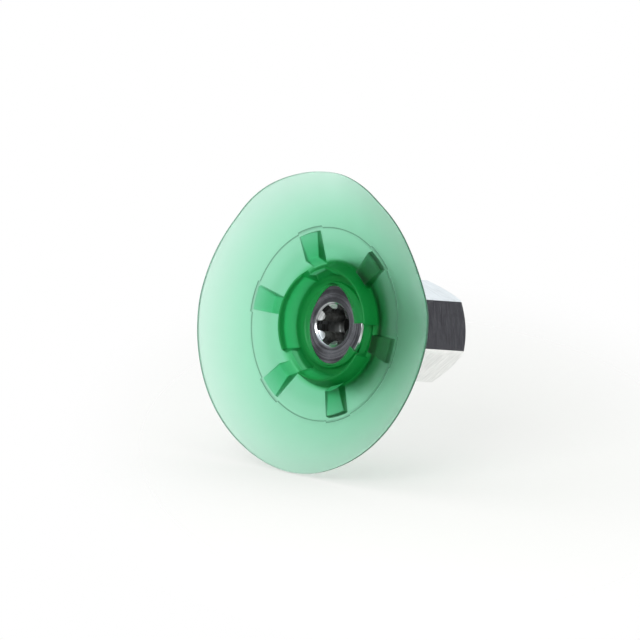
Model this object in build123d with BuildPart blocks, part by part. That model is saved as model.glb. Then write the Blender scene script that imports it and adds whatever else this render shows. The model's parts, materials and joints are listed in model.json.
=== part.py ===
import os
from math import cos, radians, tan

from build123d import *

# A flat vacuum cup: an elastomer cup, moulded in one piece, snapped onto a turned metal nipple.
# The axis of the cup lies along Y. The suction side faces -Y and the thread of the nipple opens to +Y.
# The origin is on the axis, where the full wall of the thread begins.
# Depths are counted back from the rim of the lip towards +Y, and angles from +X towards +Z.

# Overall length and the lead-in of the thread
overall_length = 30.8
thread_lead_in = 0.6

# Sealing lip
lip_diameter = 50.0
lip_depth = 3.1
lip_edge_thickness = 0.45
lip_edge_chamfer = 0.15
crease_radius = 16.1
crease_thickness = 1.2
flex_gap = 0.08

# Plate between the lip and the hub
plate_depth = 4.4
plate_thickness = 1.9
plate_root_chamfer = 0.8

# Support ribs on the plate
rib_count = 6
rib_angle = 15.4
first_rib_angle = 46.0
rib_top_depth = 2.4
rib_inner_radius = 11.2
rib_crease_gap = 0.4
rib_end_draft = 0.3
rib_foot_run = 1.0

# Hub ring with notches in line with every second rib
ring_top_depth = 2.2
ring_apex_radius = 9.35
ring_apex_width = 0.3
ring_base_radius = 10.4
ring_inner_radius = 8.5
notch_count = 3
notch_angle = 32.0
first_notch_angle = first_rib_angle + 60.0
notch_depth = 4.5
pocket_depth = 6.0
pocket_outer_radius = 9.5

# Recess inside the ring, and the claw ring that holds the nipple behind an oval opening
recess_depth = 5.5
recess_radius = 8.3
claw_outer_radius = 7.2
claw_thickness = 0.35
opening_width = 9.8
opening_height = 12.9
opening_side_lead_in = 0.8
opening_end_lead_in = 0.25
window_middle = -16.5
window_angle = 43.0

# Boss behind the plate
boss_end_radius = 9.6
boss_taper_start = 12.5
boss_length = 17.4
boss_chamfer = 0.6

# Nipple
nipple_head_depth = 5.1
nipple_head_radius = 6.7
nipple_head_length = 2.2
nipple_head_chamfer = 0.3
neck_radius = 5.2
neck_length = 3.0
collar_radius = 8.9
collar_length = 1.2
collar_chamfer = 0.25
hex_across_flats = 15.0
hex_angle = 8.7
hex_chamfer_angle = 35.0
hex_chamfer_width = 1.6

# Driver socket and air passage through the nipple
socket_mouth_radius = 3.75
socket_seat_depth = 0.8
socket_length = 6.0
socket_bump_radius = 2.65
socket_lobe_radius = 3.5
socket_bump_round = 1.0
socket_lobes = 6
socket_angle = 5.0
passage_radius = 2.6

# Female pipe thread, G 1/8, as its tapping bore
thread_bore_radius = 4.283
thread_length = 9.0
thread_mouth_radius = 4.95
drill_point_angle = 118.0

# Fits
swivel_clearance = 0.05
end_clearance = 0.05
collar_clearance = 0.1


def along(depth):
    """Y of a depth behind the rim of the lip."""
    return depth - (overall_length - thread_lead_in)


def radial_plane(angle):
    """Plane through the axis whose X points outwards at an angle around the cup."""
    return Plane.XY.rotated((0, -angle, 0))


rib_outer_radius = crease_radius - rib_crease_gap
nipple_bore_radius = nipple_head_radius + swivel_clearance
neck_bore_radius = neck_radius + swivel_clearance
nipple_neck_depth = nipple_head_depth + nipple_head_length
nipple_body_depth = nipple_neck_depth + neck_length
collar_depth = boss_length + collar_clearance
hex_depth = collar_depth + collar_length
hex_corner_radius = hex_across_flats / 2 / cos(radians(30))
lip_radius = lip_diameter / 2

os.makedirs("parts", exist_ok=True)

# Sealing lip: a thin cone that tapers to its rim and flexes at the crease
with BuildPart() as sealing_lip:
    with BuildSketch() as lip_section:
        with BuildLine():
            Polyline(
                (crease_radius + flex_gap, along(lip_depth)),
                (lip_radius, along(0)),
                (lip_radius, along(lip_edge_thickness)),
                (crease_radius + flex_gap, along(lip_depth + crease_thickness)),
                close=True,
            )
        make_face()
        rim_corner = (lip_radius, along(lip_edge_thickness))
        chamfer(lip_section.vertices().sort_by_distance(rim_corner)[0], lip_edge_chamfer)
    revolve(axis=Axis.Y)

# Cup hub: plate, notched ring, recess, claws and boss are one moulding
with BuildPart() as cup_hub:
    claw_depth = nipple_head_depth - end_clearance
    with BuildSketch() as hub_section:
        with BuildLine():
            Polyline(
                (socket_mouth_radius, along(claw_depth)),
                (socket_mouth_radius, along(claw_depth - claw_thickness)),
                (claw_outer_radius, along(claw_depth - claw_thickness)),
                (claw_outer_radius, along(recess_depth)),
                (recess_radius, along(recess_depth)),
                (ring_inner_radius, along(plate_depth)),
                (ring_apex_radius - ring_apex_width / 2, along(ring_top_depth)),
                (ring_apex_radius + ring_apex_width / 2, along(ring_top_depth)),
                (ring_base_radius, along(plate_depth)),
                (crease_radius - flex_gap, along(lip_depth)),
                (crease_radius - flex_gap, along(lip_depth + crease_thickness)),
                (ring_base_radius, along(plate_depth + plate_thickness)),
                (ring_base_radius, along(boss_taper_start)),
                (boss_end_radius, along(boss_length)),
                (nipple_bore_radius, along(boss_length)),
                (nipple_bore_radius, along(nipple_body_depth - end_clearance)),
                (neck_bore_radius, along(nipple_body_depth - end_clearance)),
                (neck_bore_radius, along(nipple_neck_depth + end_clearance)),
                (nipple_bore_radius, along(nipple_neck_depth + end_clearance)),
                (nipple_bore_radius, along(claw_depth)),
                close=True,
            )
        make_face()
        boss_corner = (boss_end_radius, along(boss_length))
        chamfer(hub_section.vertices().sort_by_distance(boss_corner)[0], boss_chamfer)
        plate_root = (ring_base_radius, along(plate_depth + plate_thickness))
        chamfer(hub_section.vertices().sort_by_distance(plate_root)[0], plate_root_chamfer)
    revolve(axis=Axis.Y)

    # Ribs: wedges with a level top, sunk into the plate at their foot
    for rib in range(rib_count):
        rib_middle = first_rib_angle + rib * 360 / rib_count
        with BuildSketch(radial_plane(rib_middle + rib_angle / 2)) as rib_section:
            with BuildLine():
                Polyline(
                    (rib_inner_radius, along(rib_top_depth)),
                    (rib_outer_radius - rib_end_draft, along(rib_top_depth)),
                    (rib_outer_radius, along(lip_depth + crease_thickness / 2)),
                    (rib_inner_radius - rib_foot_run, along(plate_depth + plate_thickness / 2)),
                    (rib_inner_radius - rib_foot_run, along(plate_depth)),
                    close=True,
                )
            make_face()
        revolve(axis=Axis.Y, revolution_arc=rib_angle)

    # Oval opening with a lead-in for the nipple, and a window beside it that bares the edge of the head
    with BuildSketch(Plane.XZ.offset(-along(claw_depth))):
        Ellipse(opening_width / 2, opening_height / 2)
    with BuildSketch(Plane.XZ.offset(-along(claw_depth - claw_thickness))):
        Ellipse(opening_width / 2 + opening_side_lead_in, opening_height / 2 + opening_end_lead_in)
    loft(mode=Mode.SUBTRACT)
    with BuildSketch(radial_plane(window_middle + window_angle / 2)) as window_section:
        with Locations((0, along(recess_depth))):
            Rectangle(claw_outer_radius, recess_depth - ring_top_depth, align=(Align.MIN, Align.MAX))
    revolve(axis=Axis.Y, revolution_arc=window_angle, mode=Mode.SUBTRACT)

    # Notches let air cross the ring, with a deep pocket in the floor of each
    for notch in range(notch_count):
        notch_middle = first_notch_angle + notch * 360 / notch_count
        with BuildSketch(radial_plane(notch_middle + notch_angle / 2)) as notch_section:
            with BuildLine():
                Polyline(
                    (claw_outer_radius, along(ring_top_depth - 1)),
                    (ring_base_radius, along(ring_top_depth - 1)),
                    (ring_base_radius, along(plate_depth)),
                    (pocket_outer_radius, along(notch_depth)),
                    (pocket_outer_radius, along(pocket_depth)),
                    (recess_radius, along(pocket_depth)),
                    (recess_radius, along(recess_depth)),
                    (claw_outer_radius, along(recess_depth)),
                    close=True,
                )
            make_face()
        revolve(axis=Axis.Y, revolution_arc=notch_angle, mode=Mode.SUBTRACT)

# Nipple: a turned head, neck and collar on a hexagon bar
with BuildPart() as nipple:
    with BuildSketch() as turned_section:
        with BuildLine():
            Polyline(
                (0, along(nipple_head_depth)),
                (nipple_head_radius, along(nipple_head_depth)),
                (nipple_head_radius, along(nipple_neck_depth)),
                (neck_radius, along(nipple_neck_depth)),
                (neck_radius, along(nipple_body_depth)),
                (nipple_head_radius, along(nipple_body_depth)),
                (nipple_head_radius, along(collar_depth)),
                (collar_radius, along(collar_depth)),
                (collar_radius, along(hex_depth)),
                (0, along(hex_depth)),
                close=True,
            )
        make_face()
        head_corner = (nipple_head_radius, along(nipple_head_depth))
        chamfer(turned_section.vertices().sort_by_distance(head_corner)[0], nipple_head_chamfer)
        chamfer(turned_section.vertices().group_by(Axis.X)[-1], collar_chamfer)
    revolve(axis=Axis.Y)

    # Hexagon with its end corners turned down to a cone
    with BuildSketch(Plane.XZ.offset(-along(hex_depth))) as hex_outline:
        RegularPolygon(hex_across_flats / 2, 6, major_radius=False, rotation=hex_angle)
    extrude(amount=-(overall_length - hex_depth))
    corner_radius = hex_corner_radius - hex_chamfer_width
    corner_drop = (hex_corner_radius + 1 - corner_radius) * tan(radians(hex_chamfer_angle))
    with BuildSketch() as corner_section:
        with BuildLine():
            Polyline(
                (corner_radius, along(overall_length)),
                (hex_corner_radius + 1, along(overall_length)),
                (hex_corner_radius + 1, along(overall_length) - corner_drop),
                close=True,
            )
        make_face()
    revolve(axis=Axis.Y, mode=Mode.SUBTRACT)

    # Air passage, tapping bore with its drill point, and the lead-in of the thread
    drill_point = thread_bore_radius / tan(radians(drill_point_angle / 2))
    with BuildSketch() as passage_section:
        with BuildLine():
            Polyline(
                (0, along(nipple_head_depth)),
                (socket_mouth_radius, along(nipple_head_depth)),
                (socket_bump_radius, along(nipple_head_depth + socket_seat_depth)),
                (passage_radius, along(nipple_head_depth + socket_seat_depth)),
                (passage_radius, -thread_length - drill_point * (1 - passage_radius / thread_bore_radius)),
                (thread_bore_radius, -thread_length),
                (thread_bore_radius, 0),
                (thread_mouth_radius, thread_lead_in),
                (0, thread_lead_in),
                close=True,
            )
        make_face()
    revolve(axis=Axis.Y, mode=Mode.SUBTRACT)

    # Six-lobed driver socket
    with BuildSketch(Plane.XZ.offset(-along(nipple_head_depth))) as socket_outline:
        Circle(socket_lobe_radius)
        with PolarLocations(
            socket_bump_radius + socket_bump_round, socket_lobes, start_angle=socket_angle + 180 / socket_lobes
        ):
            Circle(socket_bump_round, mode=Mode.SUBTRACT)
    extrude(amount=-socket_length, mode=Mode.SUBTRACT)

sealing_lip.part.label = "sealing_lip"
cup_hub.part.label = "cup_hub"
nipple.part.label = "nipple"
export_step(sealing_lip.part, "parts/sealing_lip.step")
export_step(cup_hub.part, "parts/cup_hub.step")
export_step(nipple.part, "parts/nipple.step")
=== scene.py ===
"""A flat vacuum cup: a moulded elastomer cup on a turned and milled nipple, in a small studio.

Sections are turned round the Y axis. They are given in mm, as a radius and a depth behind the lip's rim.
Angles run from +X towards +Z, in degrees, and in radians only in the nodes and in the add-on's sizes.
"""

import json
import math

import bpy
from bpy.props import FloatProperty, FloatVectorProperty, IntProperty, PointerProperty
from mathutils import Matrix, Vector


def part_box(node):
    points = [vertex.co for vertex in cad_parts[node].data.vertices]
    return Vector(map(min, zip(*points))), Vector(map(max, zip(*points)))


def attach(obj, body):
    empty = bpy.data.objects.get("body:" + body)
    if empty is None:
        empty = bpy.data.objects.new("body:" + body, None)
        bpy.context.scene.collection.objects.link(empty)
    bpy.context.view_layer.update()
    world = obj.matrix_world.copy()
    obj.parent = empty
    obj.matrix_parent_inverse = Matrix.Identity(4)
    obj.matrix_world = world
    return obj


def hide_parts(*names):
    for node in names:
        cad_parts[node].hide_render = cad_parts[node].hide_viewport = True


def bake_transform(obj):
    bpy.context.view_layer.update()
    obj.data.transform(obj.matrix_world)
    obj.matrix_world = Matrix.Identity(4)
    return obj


bl_info = {
    "name": "Flat Vacuum Cup",
    "version": (1, 0, 0),
    "blender": (4, 5, 0),
    "location": "3D View > Sidebar > Vacuum Cup",
    "description": "Builds the moulded cup, the nipple, its thread and the studio around the packed model",
    "category": "Add Mesh",
}

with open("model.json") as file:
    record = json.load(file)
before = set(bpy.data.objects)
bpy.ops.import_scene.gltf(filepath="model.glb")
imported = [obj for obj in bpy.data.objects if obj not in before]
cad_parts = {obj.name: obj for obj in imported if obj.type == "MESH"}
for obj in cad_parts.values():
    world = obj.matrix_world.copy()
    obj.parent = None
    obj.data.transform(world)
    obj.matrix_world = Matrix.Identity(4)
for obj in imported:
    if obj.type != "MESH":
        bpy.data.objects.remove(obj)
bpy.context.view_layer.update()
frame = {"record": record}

MM = 0.001
RIM_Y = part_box("sealing_lip")[0].y
LIP_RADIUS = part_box("sealing_lip")[1].x
NIPPLE_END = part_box("nipple")[1].y - RIM_Y

# Sizes that are used more than once, in mm; depths count from the rim backwards
CREASE_RADIUS = 16.1
CREASE_DEPTH = 3.1
RECESS_DEPTH = 5.5
OPENING_RADIUS = 4.9
OPENING_GROWTH = 1.6
HEAD_DEPTH = 5.1
HEXAGON_DEPTH = 18.7
PORT_RADIUS = 4.864
TAPPING_RADIUS = 4.283
PASSAGE_RADIUS = 2.6
SOCKET_END = 11.1

# Points of a mesh closer together than this are one, in metres
WELD = 2e-6

# The photograph: its side in pixels, the size of a pixel, and the rim's centre left of and below its middle
PICTURE_PIXELS = 640
PIXEL = MM / 6.02
RIM_LEFT = 7.93 * PIXEL
RIM_BELOW = 3.4 * PIXEL


# Nodes written as Python


class Signal:
    """A node's output that takes part in sums, in materials and in Geometry Nodes."""

    def __init__(self, board, socket):
        self.board = board
        self.socket = socket

    def vector(self, operation, sockets, out=0):
        return self.board.add("ShaderNodeVectorMath", {"operation": operation}, {0: self, **sockets}, out)

    def __add__(self, other):
        return self.board.math("ADD", self, other)

    def __radd__(self, other):
        return self.board.math("ADD", other, self)

    def __sub__(self, other):
        return self.board.math("SUBTRACT", self, other)

    def __rsub__(self, other):
        return self.board.math("SUBTRACT", other, self)

    def __mul__(self, other):
        return self.board.math("MULTIPLY", self, other)

    def __rmul__(self, other):
        return self.board.math("MULTIPLY", other, self)

    def __truediv__(self, other):
        return self.board.math("DIVIDE", self, other)

    def __rtruediv__(self, other):
        return self.board.math("DIVIDE", other, self)

    def cos(self):
        return self.board.math("COSINE", self)

    def sin(self):
        return self.board.math("SINE", self)

    def maximum(self, floor):
        return self.board.math("MAXIMUM", self, floor)

    def within(self, low, high):
        """0 below low, 1 above high and smooth between them."""
        sockets = {"Value": self, "From Min": low, "From Max": high}
        return self.board.add("ShaderNodeMapRange", {"interpolation_type": "SMOOTHSTEP"}, sockets)

    def parts(self):
        """The X, Y and Z of a vector."""
        split = self.board.add("ShaderNodeSeparateXYZ", sockets={0: self})
        outputs = split.socket.node.outputs
        return [Signal(self.board, output) for output in outputs]


class Board:
    """Writes nodes into one node tree."""

    def __init__(self, tree):
        self.tree = tree

    def add(self, kind, settings=None, sockets=None, out=0):
        """A new node: its settings first, then the values or links of its sockets."""
        node = self.tree.nodes.new(kind)
        for name, value in (settings or {}).items():
            setattr(node, name, value)
        for key, value in (sockets or {}).items():
            if isinstance(value, Signal):
                self.tree.links.new(value.socket, node.inputs[key])
            else:
                node.inputs[key].default_value = value
        return Signal(self, node.outputs[out]) if node.outputs else None

    def math(self, operation, *values):
        return self.add("ShaderNodeMath", {"operation": operation}, dict(enumerate(values)))

    def mix(self, factor, first, second):
        """A colour between two colours: on this node they are inputs 6 and 7, and output 2."""
        return self.add("ShaderNodeMix", {"data_type": "RGBA"}, {0: factor, 6: first, 7: second}, 2)

    def mix_shader(self, factor, first, second):
        return self.add("ShaderNodeMixShader", sockets={0: factor, 1: first, 2: second})

    def noise(self, place, scale, detail=2.0, roughness=0.5):
        sockets = {"Vector": place, "Scale": scale, "Detail": detail, "Roughness": roughness}
        return self.add("ShaderNodeTexNoise", sockets=sockets)

    def combine(self, x, y, z):
        return self.add("ShaderNodeCombineXYZ", sockets={0: x, 1: y, 2: z})


def rgb(colour, share=1.0):
    """A colour for a socket, with only a share of its light."""
    return (*(part * share for part in colour), 1.0)


def new_material(name):
    material = bpy.data.materials.new(name)
    material.use_nodes = True
    material.node_tree.nodes.clear()
    return material, Board(material.node_tree)


def axis_frame(board):
    """Object coordinates as (vector, radius from the Y axis, angle around it, depth behind the rim)."""
    place = board.add("ShaderNodeTexCoord", out="Object")
    x, y, z = place.parts()
    radius = board.math("SQRT", x * x + z * z)
    angle = board.math("ARCTAN2", z, x)
    return place, radius, angle, y - RIM_Y


# Turned shapes with a pattern around them


class Turning:
    """Rows of a closed section, with how each row moves inside a pattern such as a rib or a notch."""

    def __init__(self, *patterns):
        self.patterns = patterns
        self.rows = []

    def row(self, radius, depth, line=0.0, **moved):
        """A row in mm, and how dark a line of painted shade it draws.

        A pattern's name gives the row's place where that pattern is full.
        """
        moves = []
        for name in self.patterns:
            there = moved.get(name, (radius, depth))
            moves.append((there[0] - radius, there[1] - depth))
        self.rows.append(((radius * MM, depth * MM, line), moves))

    def path(self, corners):
        """Rows along corners of radius, depth and rounding, that no pattern moves."""
        for place in rounded(corners):
            self.row(*place)

    def points(self):
        """The section, then each pattern's moves, as points."""
        section = [place for place, _ in self.rows]
        for number in range(len(self.patterns)):
            section += [(moves[number][0] * MM, moves[number][1] * MM, 0.0) for _, moves in self.rows]
        return section


def rounded(corners, steps=5):
    """The corners of an open path, each with a rounding replaced by its arc."""
    places = []
    for number, (radius, depth, rounding) in enumerate(corners):
        if rounding == 0:
            places.append((radius, depth))
            continue
        corner = Vector((radius, depth))
        back = (Vector(corners[number - 1][:2]) - corner).normalized()
        ahead = (Vector(corners[number + 1][:2]) - corner).normalized()
        half = back.angle(ahead) / 2
        centre = corner + (back + ahead).normalized() * (rounding / math.sin(half))
        first = corner + back * (rounding / math.tan(half)) - centre
        last = corner + ahead * (rounding / math.tan(half)) - centre
        for step in range(steps):
            share = step / (steps - 1)
            spoke = first.slerp(last, share, first)
            places.append(tuple(centre + spoke.normalized() * rounding))
    return places


# Height of a wall's rounded edge against the distance across it, in wall widths
WALL = ((-1.0, 0.0), (-0.5, 0.03), (-0.2, 0.14), (0.2, 0.86), (0.5, 0.97), (1.0, 1.0))


def wall_height(distance):
    """0 outside a pattern, 1 inside it, with rounded edges."""
    if distance <= WALL[0][0]:
        return 0.0
    for (x0, h0), (x1, h1) in zip(WALL, WALL[1:]):
        if distance <= x1:
            return h0 + (h1 - h0) * (distance - x0) / (x1 - x0)
    return 1.0


class Pattern:
    """Copies of a feature around the axis, each as wide as an angle, with steep walls."""

    def __init__(self, middles, width, wall):
        self.middles = middles
        self.half = width / 2
        self.wall = wall

    def edges(self):
        """Angles at which a column of the mesh is needed."""
        for middle in self.middles:
            for share, _ in WALL:
                yield middle - self.half + share * self.wall
                yield middle + self.half - share * self.wall

    def height(self, angle):
        reach = min(abs((angle - middle + 180) % 360 - 180) for middle in self.middles)
        return wall_height((self.half - reach) / self.wall)


def columns(needed, step):
    """Angles round the circle: the needed ones, and others no further apart than the step."""
    angles = sorted({round(angle % 360, 4) for angle in needed})
    filled = []
    for number, angle in enumerate(angles):
        ahead = angles[(number + 1) % len(angles)] + (360 if number + 1 == len(angles) else 0)
        parts = max(1, math.ceil((ahead - angle) / step))
        filled += [angle + (ahead - angle) * part / parts for part in range(parts)]
    return filled


def pattern_points(angles, heights):
    """Two points for each column: its angle with two heights, then three more heights."""
    first = [(math.radians(angle), *row[:2]) for angle, row in zip(angles, heights)]
    second = [tuple(row[2:5]) for row in heights]
    return first + second


def group_input(tree, name, kind, value=None, low=None):
    socket = tree.interface.new_socket(name=name, in_out="INPUT", socket_type=kind)
    if value is not None:
        socket.default_value = value
    if low is not None:
        socket.min_value = low


def patterned_lathe(name, patterns, warp=None):
    """Geometry Nodes that turn a section round the Y axis and move its rows by patterns around it.

    The points that come in are the section, the moves of each pattern and two points for each column.
    A warp is a rule that gives a new radius and depth for a radius, a depth and an angle.
    """
    tree = bpy.data.node_groups.new(name, "GeometryNodeTree")
    tree.is_modifier = True
    board = Board(tree)
    group_input(tree, "Points", "NodeSocketGeometry")
    group_input(tree, "Rows", "NodeSocketInt", 3, 3)
    group_input(tree, "Columns", "NodeSocketInt", 3, 3)
    group_input(tree, "Closing Columns", "NodeSocketInt", 1, 0)
    group_input(tree, "Pitch", "NodeSocketFloat", 0.0)
    group_input(tree, "Rim Place", "NodeSocketFloat", 0.0)
    group_input(tree, "Sharp Angle", "NodeSocketFloat", math.radians(40))
    group_input(tree, "Material", "NodeSocketMaterial")
    tree.interface.new_socket(name="Mesh", in_out="OUTPUT", socket_type="NodeSocketGeometry")
    entry = board.add("NodeGroupInput").socket.node
    given = {socket.name: Signal(board, socket) for socket in entry.outputs if socket.name}
    rows, count = given["Rows"], given["Columns"]

    # The section closes, so the first row comes again as the last
    closed_rows = rows + 1
    sockets = {"Vertices X": count + given["Closing Columns"], "Vertices Y": closed_rows}
    grid = board.add("GeometryNodeMeshGrid", sockets=sockets)
    index = board.add("GeometryNodeInputIndex")
    column = board.math("FLOOR", (index + 0.5) / closed_rows)
    row = board.math("FLOORED_MODULO", index - column * closed_rows, rows)
    column = board.math("FLOORED_MODULO", column, count)
    position = board.add("GeometryNodeInputPosition")

    def point(number):
        settings = {"data_type": "FLOAT_VECTOR", "domain": "POINT"}
        sockets = {"Geometry": given["Points"], "Value": position, "Index": number}
        return board.add("GeometryNodeSampleIndex", settings, sockets)

    start = rows * (patterns + 1)
    angle, *heights = point(start + column).parts()
    heights += point(start + count + column).parts()
    place = point(row)
    for number in range(patterns):
        move = point(row + rows * (number + 1)).vector("SCALE", {"Scale": heights[number]})
        place = place.vector("ADD", {1: move})
    radius, depth, line = place.parts()
    if warp:
        radius, depth = warp(radius, depth, angle)
    along = depth + given["Rim Place"] - given["Pitch"] * angle / math.tau
    turned = board.combine(radius * angle.cos(), along, radius * angle.sin())

    settings = {"data_type": "FLOAT", "domain": "POINT"}
    # Each row's share of painted shade, the dark line at the rim's edge and in the crease, goes to the
    # attribute line
    drawn = board.add("GeometryNodeStoreNamedAttribute", settings, {0: grid, "Name": "line", "Value": line})
    moved = board.add("GeometryNodeSetPosition", sockets={"Geometry": drawn, "Position": turned})
    welded = board.add("GeometryNodeMergeByDistance", sockets={"Geometry": moved, "Distance": WELD})
    smooth = board.add("GeometryNodeSetShadeSmooth", {"domain": "FACE"}, {0: welded, "Shade Smooth": True})
    bend = board.add("GeometryNodeInputMeshEdgeAngle")
    settings = {"data_type": "FLOAT", "operation": "GREATER_THAN"}
    sharp = board.add("FunctionNodeCompare", settings, {0: bend, 1: given["Sharp Angle"]})
    sockets = {0: smooth, "Selection": sharp, "Shade Smooth": False}
    edged = board.add("GeometryNodeSetShadeSmooth", {"domain": "EDGE"}, sockets)
    real = board.add("GeometryNodeRealizeInstances", sockets={0: edged})
    done = board.add("GeometryNodeSetMaterial", sockets={0: real, "Material": given["Material"]})
    board.add("NodeGroupOutput", sockets={0: done})
    return tree


def turned_piece(name, tree, points, inputs):
    """Runs the lathe on the points and keeps its result as a plain mesh."""
    source = bpy.data.meshes.new(name + "_points")
    source.from_pydata(points, [], [])
    piece = bpy.data.objects.new(name, source)
    bpy.context.scene.collection.objects.link(piece)
    lathe = piece.modifiers.new("Lathe", "NODES")
    lathe.node_group = tree
    for item in tree.interface.items_tree:
        if item.in_out == "INPUT" and item.name in inputs:
            lathe[item.identifier] = inputs[item.name]
    depsgraph = bpy.context.evaluated_depsgraph_get()
    mesh = bpy.data.meshes.new_from_object(piece.evaluated_get(depsgraph), depsgraph=depsgraph)
    mesh.name = name
    piece.modifiers.remove(lathe)
    piece.data = mesh
    bpy.data.meshes.remove(source)
    return piece


# Materials


def elastomer_material(colours):
    """Translucent polyurethane with a fine matt grain: clear where it is thin, milky where it is thick,
    with a line of painted shade along the rim's edge and in the crease.
    """
    material, board = new_material("polyurethane")
    place, radius, _, depth = axis_frame(board)
    # The attribute line tells how strong the painted shade is along the rim's edge and in the crease
    line = board.add("ShaderNodeAttribute", {"attribute_name": "line"}, out="Fac")
    cloud = board.noise(place, 260.0, 3.0)
    grain = board.noise(place, 4600.0, 2.0, 0.6)
    on_hub = 1.0 - radius.within(10.2 * MM, 11.4 * MM)
    on_lip = radius.within(15.0 * MM, 17.5 * MM)
    outside = radius.within(12.0 * MM, 14.5 * MM)
    to_rim = radius.within(16.3 * MM, 25.0 * MM)
    tint = board.mix(to_rim, rgb(colours.plate), rgb(colours.thin))
    tint = board.mix(on_hub, tint, rgb(colours.thick))
    tint = board.mix(cloud * 0.06, tint, rgb(colours.body))
    # Painted shade: a dark line along the rim's edge and in the crease
    tint = board.mix(line * 0.95, tint, rgb(colours.line))
    rough = 0.26 + 0.08 * on_lip + 0.06 * on_hub + 0.12 * grain + 0.06 * cloud
    height = grain * (0.35 + 0.65 * on_lip)
    bump = board.add("ShaderNodeBump", sockets={"Strength": 0.3, "Distance": 0.03 * MM, "Height": height})
    shared = {"Roughness": rough, "Normal": bump, "Specular Tint": rgb(colours.sheen)}
    glassy = {"Base Color": tint, "Transmission Weight": 1.0, **shared}
    solid = board.add("ShaderNodeBsdfPrincipled", sockets={"IOR": 1.46, **glassy})
    sheet = board.add("ShaderNodeBsdfPrincipled", sockets={"IOR": 1.3, **glassy})
    clear = board.mix_shader(on_lip, solid, sheet)
    on_boss = depth.within(5.8 * MM, 7.5 * MM)
    deep = board.mix(cloud, rgb(colours.body), rgb(colours.body, 0.8))
    deep = board.mix(on_boss, deep, rgb(colours.boss))
    deep = board.mix(outside, deep, rgb(colours.haze))
    milky = board.add("ShaderNodeBsdfPrincipled", sockets={"Base Color": deep, "IOR": 1.46, **shared})
    on_plate = depth.within(2.7 * MM, 3.2 * MM) * outside * (1.0 - on_lip)
    share = 0.02 + 0.36 * on_hub * (1.0 - 0.5 * on_boss) + 0.09 * on_lip + 0.08 * on_plate
    surface = board.mix_shader(share, clear, milky)
    inside = board.add(
        "ShaderNodeVolumeAbsorption",
        sockets={"Color": rgb(colours.tint), "Density": colours.density},
    )
    board.add("ShaderNodeOutputMaterial", sockets={"Surface": surface, "Volume": inside})
    return material


def aluminium_material(colours):
    """Bare aluminium: turning rings on the round parts and fine cross milling on the hexagon, with painted
    shade in the socket and the passage.
    """
    material, board = new_material("aluminium")
    place, radius, angle, depth = axis_frame(board)
    x, y, z = place.parts()
    rings = board.noise(board.combine(radius, depth * 0.5, angle * 0.00008), 2900.0, 3.0, 0.7)
    milled = board.noise(board.combine(x * 0.08, y, z * 0.08), 3400.0, 4.0, 0.7)
    patches = board.noise(place, 420.0, 3.0)
    on_hexagon = depth.within((HEXAGON_DEPTH - 0.1) * MM, (HEXAGON_DEPTH + 0.1) * MM)
    marks = rings * (1.0 - on_hexagon) + milled * on_hexagon
    shade = marks * 0.7 + patches * 0.3
    turned = board.mix(shade.within(0.38, 0.64), rgb(colours.metal, 0.3), rgb(colours.metal))
    flat = board.mix(shade.within(0.3, 0.65), rgb(colours.milled, 0.8), rgb(colours.milled))
    colour = board.mix(on_hexagon, turned, flat)
    near_axis = 1.0 - radius.within(3.1 * MM, 3.9 * MM)
    in_socket = near_axis * depth.within(5.15 * MM, 6.4 * MM)
    passage_shade = near_axis * depth.within(9.0 * MM, 11.5 * MM)
    # Painted shade: the socket's mouth is painted darker and a little brown, and the passage deep inside
    # nearly black, where little light reaches
    colour = board.mix(in_socket * 0.55, colour, rgb((0.16, 0.155, 0.12)))
    colour = board.mix(passage_shade * 0.9, colour, rgb((0.02, 0.02, 0.02)))
    rough = 0.12 + 0.16 * marks + 0.3 * in_socket
    height = marks * (10.0 - 3.0 * on_hexagon)
    bump = board.add("ShaderNodeBump", sockets={"Strength": 0.5, "Distance": 0.004 * MM, "Height": height})
    surface = board.add(
        "ShaderNodeBsdfPrincipled",
        sockets={"Base Color": colour, "Metallic": 1.0, "Roughness": rough, "Normal": bump},
    )
    board.add("ShaderNodeOutputMaterial", sockets={"Surface": surface})
    return material


# Sizes and colours


def colour_property(name, description, default):
    return FloatVectorProperty(
        name=name, description=description, subtype="COLOR", min=0.0, max=1.0, default=default
    )


def length_property(name, description, default):
    return FloatProperty(name=name, description=description, unit="LENGTH", precision=6, default=default)


def angle_property(name, description, degrees):
    default = math.radians(degrees)
    return FloatProperty(name=name, description=description, subtype="ANGLE", default=default)


class CupColours(bpy.types.PropertyGroup):
    thin: colour_property("Thin", "Surface colour of the lip at its rim", (0.99, 0.995, 0.99))
    plate: colour_property(
        "Plate", "Surface colour of the plate and of the lip at the crease", (0.86, 0.965, 0.91)
    )
    thick: colour_property("Thick", "Surface colour of the hub", (0.52, 0.95, 0.68))
    # Painted shade: the colour of the dark line along the rim's edge and in the crease
    line: colour_property("Line", "Surface colour along the rim and the crease", (0.002, 0.022, 0.013))
    haze: colour_property("Haze", "Colour of the milky part of the lip and the plate", (0.42, 0.80, 0.62))
    boss: colour_property("Boss", "Colour of the milky part of the boss at the back", (0.09, 0.74, 0.38))
    body: colour_property("Body", "Colour of the milky part of the hub", (0.004, 0.34, 0.06))
    sheen: colour_property("Sheen", "Colour of what the elastomer mirrors straight on", (0.3, 0.65, 0.45))
    tint: colour_property(
        "Tint", "Colour that light keeps on its way through the elastomer", (0.05, 0.80, 0.48)
    )
    density: FloatProperty(
        name="Density", description="Strength of the tint per metre of elastomer", min=0.0, default=750.0
    )
    metal: colour_property("Metal", "Colour of the turned aluminium", (0.88, 0.92, 0.94))
    milled: colour_property("Milled", "Colour of the milled aluminium of the hexagon", (0.97, 0.97, 0.96))


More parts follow.
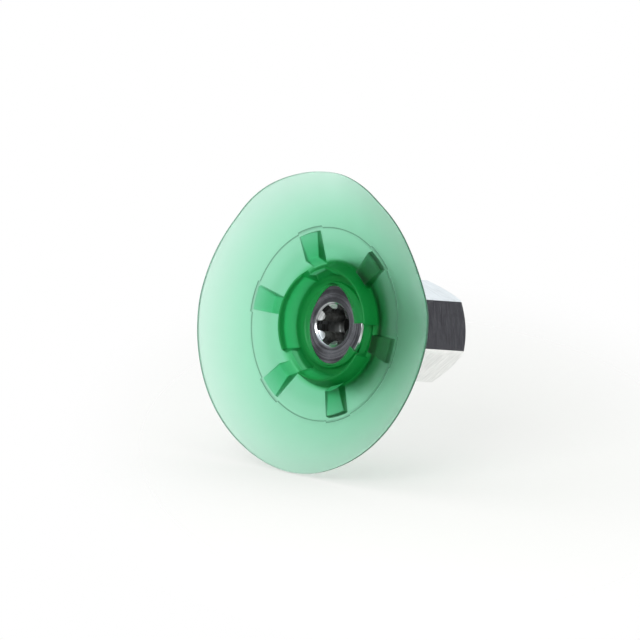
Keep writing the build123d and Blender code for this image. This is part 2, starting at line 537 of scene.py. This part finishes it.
class CupSizes(bpy.types.PropertyGroup):
    lip_radius: length_property("Lip Radius", "Radius of the rim", LIP_RADIUS)
    crease_radius: length_property(
        "Crease Radius", "Radius of the line between lip and plate", CREASE_RADIUS * MM
    )
    ribs: IntProperty(name="Ribs", description="Support ribs around the plate", min=1, default=6)
    rib_width: angle_property("Rib Width", "Angle that a rib spans", 15.4)
    first_rib: angle_property("First Rib", "Angle of the first rib", 46.0)
    notches: IntProperty(name="Notches", description="Air notches in the ring", min=1, default=3)
    notch_width: angle_property("Notch Width", "Angle that a notch spans", 32.0)
    window_width: angle_property("Window Width", "Angle of the window beside the opening", 43.0)
    warp: FloatProperty(name="Warp", description="Share of the lip's warp", min=0.0, max=1.0, default=1.0)


class NippleSizes(bpy.types.PropertyGroup):
    across_flats: length_property("Across Flats", "Width of the hexagon", 15.0 * MM)
    hexagon_turn: angle_property("Hexagon Turn", "Angle of the hexagon's first flat", 8.7)
    lobe_turn: angle_property("Lobe Turn", "Angle of the socket's first lobe", 5.0)
    thread_pitch: length_property("Thread Pitch", "Distance between turns of the thread", 0.907 * MM)


class StudioSizes(bpy.types.PropertyGroup):
    azimuth: angle_property("Azimuth", "Angle of the camera round the cup", 41.0)
    roll: angle_property("Roll", "Turn of the camera about its line of sight", 3.85)
    picture_width: length_property(
        "Picture Width", "Width that the picture takes in at the rim", PICTURE_PIXELS * PIXEL
    )
    distance: length_property("Distance", "Distance of the camera", 4.0)


# The cup's section


def plate_depth(radius):
    """Depth of the plate's front between the ring and the crease, in mm."""
    slope = 0.228
    return CREASE_DEPTH + (CREASE_RADIUS - radius) * slope


def cup_section(sizes):
    """The moulding from the rim inwards, back along the bore and out again behind."""
    lip = sizes.lip_radius / MM
    crease = sizes.crease_radius / MM
    slope = CREASE_DEPTH / (lip - crease)
    jog = 0.28
    turning = Turning("rib", "notch", "window", "jog", "oval")
    row = turning.row

    # Edge of the rim, front of the lip and the crease, which jogs outwards at each rib; a row's third
    # number is its painted shade, a dark line along the rim's edge and in the crease
    row(lip, 0.22, 1.0)
    row(lip - 0.005, 0.10, 0.7)
    row(lip - 0.04, 0.055, 0.1)
    for inset in (0.18, 0.4, 1.0, 2.0, 3.2, 4.6, 6.0, 7.2, 8.0):
        row(lip - inset, max(0.055, slope * inset))
    crease_rows = (
        (0.3, 0.0, 0.0), (0.12, 0.0, 0.1), (0.07, 0.01, 0.7),
        (0.03, 0.05, 1.0), (-0.01, 0.06, 1.0), (-0.06, 0.03, 0.7),
    )
    for step, sunk, line in crease_rows:
        radius = crease + step
        depth = slope * (lip - radius) + sunk
        row(radius, depth, line, jog=(radius + jog, depth - jog * slope))

    # Plate, and the ribs on it
    for radius, sunk in ((15.88, 0.04), (15.78, 0.02)):
        row(radius, plate_depth(radius) + sunk)
    ribs = (
        (15.72, 15.70, plate_depth(15.70)), (15.66, 15.67, 3.08), (15.50, 15.46, 2.56),
        (15.42, 15.40, 2.44), (15.30, 15.31, 2.40), (15.0, 15.0, 2.40), (14.2, 14.2, 2.40),
        (13.2, 13.2, 2.40), (12.2, 12.2, 2.40), (11.5, 11.4, 2.40), (11.25, 11.24, 2.405),
        (11.1, 11.15, 2.50), (10.9, 10.9, 3.0), (10.65, 10.58, 3.64), (10.48, 10.37, 4.06),
    )
    for radius, rib_radius, rib_depth in ribs:
        row(radius, plate_depth(radius), rib=(rib_radius, rib_depth))

    # Ring with its notches, and the pocket in each notch
    row(10.40, 4.38, rib=(10.31, 4.18))
    ring = (
        (10.33, 4.23, 10.20, 4.42), (10.0, 3.42, 9.95, 4.45), (9.62, 2.50, 9.70, 4.48),
        (9.53, 2.30, 9.58, 4.50), (9.47, 2.22, 9.52, 4.54), (9.38, 2.19, 9.50, 4.65),
        (9.28, 2.19, 9.48, 5.20), (9.19, 2.23, 9.46, 5.85), (9.13, 2.34, 9.38, 5.98),
        (8.85, 3.25, 9.10, 6.00), (8.50, 4.40, 8.70, 6.00), (8.42, 4.90, 8.40, 5.98),
        (8.34, 5.36, 8.32, 5.90), (8.28, 5.47, 8.30, 5.60), (8.18, 5.50, 8.20, 5.50),
    )
    for radius, depth, notch_radius, notch_depth in ring:
        row(radius, depth, notch=(notch_radius, notch_depth))

    # Recess floor, and the claw ring round the nipple's head
    row(7.7, RECESS_DEPTH)
    row(7.3, RECESS_DEPTH)
    claws = (
        (7.24, 5.48, 7.20), (7.21, 5.40, 7.12), (7.20, 5.10, 7.06), (7.19, 4.80, 7.02),
        (7.16, 4.73, 6.99), (7.08, 4.70, 6.96), (6.95, 4.70, 6.93), (6.75, 4.70, 6.91),
    )
    for radius, depth, window_radius in claws:
        row(radius, depth, window=(window_radius, RECESS_DEPTH))

    # Opening of the claw ring, which grows to an oval, and the underside of the ring
    opening = (
        (5.82, 4.70, 6.88, 1.0), (5.75, 4.72, 6.86, 1.0), (5.70, 4.77, 6.84, 1.0), (5.30, 4.91, 6.83, 1.3),
        (4.93, 5.02, 6.82, OPENING_GROWTH), (OPENING_RADIUS, 5.05, 6.81, OPENING_GROWTH),
        (4.94, 5.06, 6.80, OPENING_GROWTH), (5.9, 5.06, 6.79, 0.68), (6.5, 5.06, 6.78, 0.15),
        (6.72, 5.07, 6.77, 0.0),
    )
    for radius, depth, window_radius, growth in opening:
        row(radius, depth, window=(window_radius, RECESS_DEPTH), oval=(radius + growth, depth))
    row(6.75, 5.11, window=(6.75, 5.53))
    row(6.75, 5.30, window=(6.75, 5.60))

    # Bore round the nipple's head and neck, end of the boss, its outside, and the back of the plate and lip
    turning.path(
        (
            (6.75, 6.4, 0), (6.75, 7.35, 0.04), (5.25, 7.35, 0.04), (5.25, 8.8, 0),
            (5.25, 10.25, 0.04), (6.75, 10.25, 0.04), (6.75, 12.0, 0), (6.75, 14.5, 0),
            (6.75, 17.4, 0.12), (7.8, 17.4, 0), (9.6, 17.4, 0.6), (9.85, 16.05, 0),
            (10.4, 12.5, 1.5), (10.4, 10.0, 0), (10.4, 6.3, 1.1), (12.2, 5.66, 0), (13.6, 5.16, 0),
            (15.0, 4.67, 0), (16.05, 4.32, 0.8), (17.4, 3.74, 0), (19.0, 3.05, 0), (20.6, 2.35, 0),
            (22.2, 1.66, 0), (23.4, 1.14, 0), (24.3, 0.75, 0), (24.7, 0.57, 0),
        )
    )
    # The rim's back edge; the third number of each row is its painted shade, a dark line along the rim's
    # wall
    back_edge = (
        (0.16, 0.545, 0.0), (0.06, 0.53, 0.3), (0.01, 0.49, 1.0), (0.0, 0.42, 1.0), (0.0, 0.32, 1.0),
    )
    for inset, depth, line in back_edge:
        row(lip - inset, depth, line)
    return turning


def opening_share(angle):
    """How far the oval opening reaches at an angle: 0 at its narrow sides, about 1 at its ends."""
    across, up = math.cos(math.radians(angle)), math.sin(math.radians(angle))
    end, power = (6.65, 1.65) if up > 0 else (6.5, 2.0)
    reach = (abs(across / OPENING_RADIUS) ** power + abs(up / end) ** power) ** (-1 / power)
    return (reach - OPENING_RADIUS) / OPENING_GROWTH


# The rim's outward spread all round, and the radius from which its bends grow, in mm
RIM_SPREAD = 0.1
WARP_START = 16.6

# Bends of the rim: angle of the middle and reach to each side in degrees, then how far back and outwards
# in mm, where a minus means forwards or inwards
RIM_BENDS = (
    (45, 40, -0.9, -0.5),
    (80, 25, 0.4, 0.2),
    (110, 30, -0.7, 0.0),
    (145, 30, 0.3, 0.0),
    (190, 50, -0.2, 0.2),
    (260, 30, 0.2, 0.0),
    (310, 50, -0.6, -0.3),
)


def rim_warp(sizes):
    """A rule that bends the lip a little, more and more towards its rim."""

    def warp(radius, depth, angle):
        start = WARP_START * MM
        share = ((radius - start) / (sizes.lip_radius - start)).maximum(0.0)
        share = share * share * sizes.warp
        behind, spread = 0.0, RIM_SPREAD * MM
        for middle, reach, back, outwards in RIM_BENDS:
            near = (angle - math.radians(middle)).cos().within(math.cos(math.radians(reach)), 1.0)
            behind = near * (back * MM) + behind
            spread = near * (outwards * MM) + spread
        return radius + spread * share, depth + behind * share

    return warp


# Operators


class FLATCUP_OT_moulding(bpy.types.Operator):
    """Make the moulded elastomer cup in place of the hub and the lip"""

    bl_idname = "flatcup.moulding"
    bl_label = "Moulded Cup"

    def execute(self, context):
        sizes = context.scene.flatcup_sizes
        first = math.degrees(sizes.first_rib)
        ribs = [first + 360 * number / sizes.ribs for number in range(sizes.ribs)]
        first_notch = first + 60
        notches = [first_notch + 360 * number / sizes.notches for number in range(sizes.notches)]
        window = first + 297.5
        jog_width = 19.0
        patterns = (
            Pattern(ribs, math.degrees(sizes.rib_width), wall=0.45),
            Pattern(notches, math.degrees(sizes.notch_width), wall=0.55),
            Pattern([window], math.degrees(sizes.window_width), wall=0.6),
            Pattern(ribs, jog_width, wall=0.5),
        )
        needed = [edge for pattern in patterns for edge in pattern.edges()]
        angles = columns(needed, step=2.0)
        heights = []
        for angle in angles:
            heights.append([pattern.height(angle) for pattern in patterns] + [opening_share(angle)])
        turning = cup_section(sizes)
        tree = patterned_lathe("Moulded cup", len(turning.patterns), rim_warp(sizes))
        inputs = {
            "Rows": len(turning.rows),
            "Columns": len(angles),
            "Rim Place": RIM_Y,
            "Sharp Angle": math.radians(60),
            "Material": elastomer_material(context.scene.flatcup_colours),
        }
        points = turning.points() + pattern_points(angles, heights)
        moulding = turned_piece("cup_moulding", tree, points, inputs)
        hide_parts("cup_hub", "sealing_lip")
        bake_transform(moulding)
        return {"FINISHED"}


def corner_radius(half_width):
    """Radius of a hexagon's corners while they are sharp."""
    return half_width / math.cos(math.radians(30))


def hexagon_radius(angle, half_width, turn):
    """Radius of a hexagon's outline, with a little cut off its corners."""
    corner_cut = 0.1
    off = (angle - turn + 30) % 60 - 30
    return min(half_width / math.cos(math.radians(off)), corner_radius(half_width) - corner_cut)


def socket_radius(angle, turn):
    """Radius of the six-lobed socket: a circle with six round bumps into it."""
    lobe, bump, rounding = 3.5, 2.65, 1.0
    off = math.radians((angle - turn) % 60 - 30)
    centre = bump + rounding
    reach = rounding**2 - (centre * math.sin(off)) ** 2
    if reach <= 0:
        return lobe
    return min(lobe, centre * math.cos(off) - math.sqrt(reach))


def nipple_section(end):
    """The nipple from the socket's mouth outwards, along the outside and back through the port."""
    turning = Turning("hexagon", "cone", "lobe")
    row = turning.row
    turning.path(
        (
            (3.78, HEAD_DEPTH, 0), (4.14, HEAD_DEPTH, 0), (4.2, 5.11, 0), (4.26, HEAD_DEPTH, 0),
            (4.66, HEAD_DEPTH, 0), (4.7, 5.106, 0), (4.74, HEAD_DEPTH, 0), (5.6, HEAD_DEPTH, 0),
            (6.45, HEAD_DEPTH, 0.05), (6.7, 5.35, 0.05), (6.7, 7.3, 0.05), (5.2, 7.3, 0.05),
            (5.2, 10.3, 0.05), (6.7, 10.3, 0.05), (6.7, 14.0, 0), (6.7, 17.5, 0.05), (8.65, 17.5, 0.05),
            (8.9, 17.75, 0.05), (8.9, 18.45, 0.05), (8.67, 18.68, 0), (8.6, HEXAGON_DEPTH, 0),
        )
    )

    # Rows on the hexagon lie at its outline, so their own radius is 0
    for depth in (18.71, 18.85, 19.2, 21.0, 23.5, 26.0, 28.5, 29.5):
        row(0.0, depth, hexagon=(1.0, depth))

    # End of the hexagon, with its corners turned to a cone
    drop = math.tan(math.radians(35))
    for inset in (0.06, 0.015):
        row(0.0, end - inset, hexagon=(1.0, end - inset), cone=(0.0, end - inset - drop))
    row(0.0, end - 0.01, hexagon=(1.0, end - 0.01), cone=(-1.0, end - 0.01))
    row(-0.05, end, hexagon=(0.95, end), cone=(-1.05, end))
    turning.path(
        (
            (6.4, end, 0), (5.6, end, 0), (4.95, end, 0.05), (PORT_RADIUS, end - 0.085, 0.03),
            (PORT_RADIUS, 28.0, 0), (PORT_RADIUS, 25.0, 0), (PORT_RADIUS, 21.6, 0.08),
            (TAPPING_RADIUS, 21.35, 0.05), (TAPPING_RADIUS, 21.2, 0.05),
            (PASSAGE_RADIUS, 20.19, 0.05), (PASSAGE_RADIUS, 16.0, 0), (PASSAGE_RADIUS, SOCKET_END, 0),
        )
    )

    # Socket, whose mouth is a cone that meets each lobe at a depth of its own
    for depth in (SOCKET_END, 11.05, 9.5, 8.0, 6.9):
        row(0.0, depth, lobe=(1.0, depth))
    mouth, slope = 3.75, 0.8 / 1.1
    for scale, edge in ((1.0, 5.13), (1.02, HEAD_DEPTH)):
        foot = edge + mouth * slope
        row(0.0, foot, lobe=(scale, foot - scale * slope))

    # The other way round, so that the faces point outwards
    turning.rows.reverse()
    return turning


class FLATCUP_OT_nipple(bpy.types.Operator):
    """Make the metal nipple with its socket, neck, collar and hexagon"""

    bl_idname = "flatcup.nipple"
    bl_label = "Nipple"

    def execute(self, context):
        sizes = context.scene.flatcup_nipple
        half_width = sizes.across_flats / 2 / MM
        turn = math.degrees(sizes.hexagon_turn)
        lobe_turn = math.degrees(sizes.lobe_turn)
        chamfer = 1.6
        cone = corner_radius(half_width) - chamfer
        turning = nipple_section(NIPPLE_END / MM)
        beside_corner = (-1.6, -1.15, -0.5, 0, 0.5, 1.15, 1.6)
        beside_bump = range(-18, 19, 2)
        corners = [turn + 30 + 60 * side + off for side in range(6) for off in beside_corner]
        bumps = [lobe_turn + 30 + 60 * lobe + off for lobe in range(6) for off in beside_bump]
        angles = columns(corners + bumps, step=2.5)

        # Here the heights are lengths in mm: the rows lie at the outlines of the hexagon and the socket
        heights = []
        for angle in angles:
            outline = hexagon_radius(angle, half_width, turn)
            heights.append([outline, max(0.0, outline - cone), socket_radius(angle, lobe_turn), 0.0, 0.0])
        tree = patterned_lathe("Nipple", len(turning.patterns))
        inputs = {
            "Rows": len(turning.rows),
            "Columns": len(angles),
            "Rim Place": RIM_Y,
            "Sharp Angle": math.radians(25),
            "Material": aluminium_material(context.scene.flatcup_colours),
        }
        points = turning.points() + pattern_points(angles, heights)
        nipple = turned_piece("nipple_body", tree, points, inputs)
        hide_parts("nipple")
        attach(nipple, "nipple")
        return {"FINISHED"}


class FLATCUP_OT_thread(bpy.types.Operator):
    """Wind the turns of the female thread into the nipple's end"""

    bl_idname = "flatcup.thread"
    bl_label = "Thread"

    def execute(self, context):
        sizes = context.scene.flatcup_nipple
        pitch = sizes.thread_pitch / MM
        turning = Turning("fade")
        crest, root, shoulder = TAPPING_RADIUS, 4.92, 0.06
        profile = (
            (root, -0.45), (crest + shoulder, -0.09), (crest, -0.05),
            (crest, 0.05), (crest + shoulder, 0.09), (root, 0.45),
        )
        for radius, share in profile:
            turning.row(radius, share * pitch, fade=(root, 0.0))

        # Each end fades into the wall of the port
        turns, turn_columns, fade_angle = 9.2, 72, 150
        count = int(turns * turn_columns) + 1
        angles = [360 * turns * number / (count - 1) for number in range(count)]
        heights = []
        for angle in angles:
            ends = min(angle, angles[-1] - angle)
            heights.append([max(0.0, 1.0 - ends / fade_angle), 0.0, 0.0, 0.0, 0.0])
        tree = patterned_lathe("Thread", len(turning.patterns))
        inset = 0.15 * MM
        start = frame["record"]["mounts"][0]["pos_m"][1] - inset
        inputs = {
            "Rows": len(turning.rows),
            "Columns": len(angles),
            "Closing Columns": 0,
            "Pitch": sizes.thread_pitch,
            "Rim Place": start,
            "Material": bpy.data.materials["aluminium"],
        }
        points = turning.points() + pattern_points(angles, heights)
        thread = turned_piece("nipple_thread", tree, points, inputs)
        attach(thread, "nipple")
        return {"FINISHED"}


class FLATCUP_OT_studio(bpy.types.Operator):
    """Set up the camera, the floor, the world and the lamp"""

    bl_idname = "flatcup.studio"
    bl_label = "Studio"

    def execute(self, context):
        scene = context.scene
        studio = scene.flatcup_studio
        scene.view_settings.view_transform = "Standard"
        back = Vector((math.sin(studio.azimuth), -math.cos(studio.azimuth), 0))
        add_camera(scene, studio, back)
        add_floor(scene, back)
        add_world(scene)
        add_lamp(scene, "key", place=Vector((0.24, -0.53, 0.15)), size=0.22, power=2.2)
        return {"FINISHED"}


def add_camera(scene, studio, back):
    """A long lens at the photograph's angle, aimed a little right of and above the rim's centre."""
    up = Vector((0, 0, 1))
    side = up.cross(back)
    right = side * math.cos(studio.roll) + up * math.sin(studio.roll)
    top = up * math.cos(studio.roll) - side * math.sin(studio.roll)
    middle = Vector((0, RIM_Y, 0)) + right * RIM_LEFT + top * RIM_BELOW
    data = bpy.data.cameras.new("camera")
    data.lens = data.sensor_width * studio.distance / studio.picture_width
    data.clip_end = 20.0
    camera = bpy.data.objects.new("camera", data)
    turned = Matrix((right, top, back)).transposed().to_4x4()
    camera.matrix_world = Matrix.Translation(middle + back * studio.distance) @ turned
    scene.collection.objects.link(camera)
    scene.camera = camera


def add_floor(scene, back):
    """A pale sheet just under the lip that rises away from the camera and fades out round the cup."""
    tilt = math.radians(9)
    drop, half_side = 0.0216, 0.4
    fade_across, fade_along = 0.05, 0.16
    normal = Vector((0, 0, math.cos(tilt))) + back * math.sin(tilt)
    side = normal.cross(back).normalized()
    ahead = side.cross(normal)
    middle = normal * -drop
    square = ((-1, -1), (1, -1), (1, 1), (-1, 1))
    corners = [middle + side * (x * half_side) + ahead * (y * half_side) for x, y in square]
    mesh = bpy.data.meshes.new("floor")
    mesh.from_pydata(corners, [], [(0, 1, 2, 3)])
    material, board = new_material("paper")
    place = board.add("ShaderNodeTexCoord", out="Object")
    fibre = board.noise(place, 900.0, 3.0)
    colour = board.mix(fibre, rgb((0.77, 0.78, 0.76)), rgb((0.80, 0.81, 0.79)))
    matt = board.add("ShaderNodeBsdfDiffuse", sockets={"Color": colour})
    lit = board.add("ShaderNodeEmission", sockets={"Color": rgb((0.94, 0.945, 0.93)), "Strength": 1.0})
    clear = board.add("ShaderNodeBsdfTransparent")
    paper = board.mix_shader(0.5, matt, lit)
    across = place.vector("DOT_PRODUCT", {1: side}, "Value") / fade_across
    along = place.vector("DOT_PRODUCT", {1: ahead}, "Value") / fade_along
    away = (across * across + along * along).within(0.1, 1.6)
    sheet = board.mix_shader(away, paper, clear)
    board.add("ShaderNodeOutputMaterial", sockets={"Surface": sheet})
    mesh.materials.append(material)
    floor = bpy.data.objects.new("floor", mesh)
    scene.collection.objects.link(floor)


# Darker zones of the room that shiny faces mirror: a direction, the cosines of the angles from it at which
# the zone begins and is full, and its colour
MIRRORED_ZONES = (
    ((0.626, 0.755, 0.196), 0.86, 0.97, (0.05, 0.05, 0.06)),
    ((0.6, -0.8, 0.0), 0.90, 0.985, (0.12, 0.12, 0.11)),
    ((-0.85, -0.53, 0.0), 0.30, 0.75, (0.28, 0.27, 0.29)),
    ((-0.656, -0.755, 0.0), 0.95, 0.99, (0.12, 0.12, 0.13)),
)


def add_world(scene):
    """White to the camera and to paper, and a light room with darker zones to shiny faces.

    What is seen through the elastomer has a glow behind the cup, as the camera looks at it.
    """
    world = bpy.data.worlds.new("studio")
    world.use_nodes = True
    world.node_tree.nodes.clear()
    board = Board(world.node_tree)
    direction = board.add("ShaderNodeTexCoord", out="Generated")

    def toward(way, low, high):
        return direction.vector("DOT_PRODUCT", {1: way}, "Value").within(low, high)

    white = rgb((1, 1, 1))
    mirrored = board.mix(toward((0.0, 0.0, 1.0), -0.6, 0.6), rgb((1, 1, 0.97)), rgb((0.85, 0.92, 0.97)))
    for way, low, high, colour in MIRRORED_ZONES:
        mirrored = board.mix(toward(way, low, high), mirrored, rgb(colour))
    glow = board.mix(toward((-0.656, 0.755, 0.0), 0.45, 0.92), rgb((0.38, 0.38, 0.38)), white)
    rays = board.add("ShaderNodeLightPath").socket.node
    light = white
    seen = {"Is Glossy Ray": mirrored, "Is Transmission Ray": glow, "Is Camera Ray": white}
    for name, colour in seen.items():
        light = board.mix(Signal(board, rays.outputs[name]), light, colour)
    background = board.add("ShaderNodeBackground", sockets={"Color": light, "Strength": 1.0})
    board.add("ShaderNodeOutputWorld", sockets={"Surface": background})
    scene.world = world


def add_lamp(scene, name, place, size, power):
    data = bpy.data.lights.new(name, "AREA")
    data.shape = "SQUARE"
    data.size = size
    data.energy = power
    lamp = bpy.data.objects.new(name, data)
    lamp.location = place
    lamp.rotation_euler = place.to_track_quat("Z", "Y").to_euler()
    scene.collection.objects.link(lamp)


class FLATCUP_PT_panel(bpy.types.Panel):
    """Sizes, colours and the steps that build the cup"""

    bl_label = "Flat Vacuum Cup"
    bl_idname = "FLATCUP_PT_panel"
    bl_space_type = "VIEW_3D"
    bl_region_type = "UI"
    bl_category = "Vacuum Cup"

    def draw(self, context):
        for property_group in GROUPS:
            group = getattr(context.scene, property_group)
            box = self.layout.box()
            for name in group.bl_rna.properties.keys():
                if name not in ("rna_type", "name"):
                    box.prop(group, name)
        for step in STEPS:
            self.layout.operator(step.bl_idname)


GROUPS = {
    "flatcup_sizes": CupSizes,
    "flatcup_nipple": NippleSizes,
    "flatcup_colours": CupColours,
    "flatcup_studio": StudioSizes,
}
STEPS = (FLATCUP_OT_moulding, FLATCUP_OT_nipple, FLATCUP_OT_thread, FLATCUP_OT_studio)


def register():
    for kind in (*GROUPS.values(), *STEPS, FLATCUP_PT_panel):
        bpy.utils.register_class(kind)
    for name, kind in GROUPS.items():
        setattr(bpy.types.Scene, name, PointerProperty(type=kind))


def unregister():
    for name in GROUPS:
        delattr(bpy.types.Scene, name)
    for kind in (FLATCUP_PT_panel, *reversed(STEPS), *GROUPS.values()):
        bpy.utils.unregister_class(kind)


def main():
    register()
    bpy.ops.flatcup.moulding()
    bpy.ops.flatcup.nipple()
    bpy.ops.flatcup.thread()
    bpy.ops.flatcup.studio()


if __name__ == "__main__":
    main()
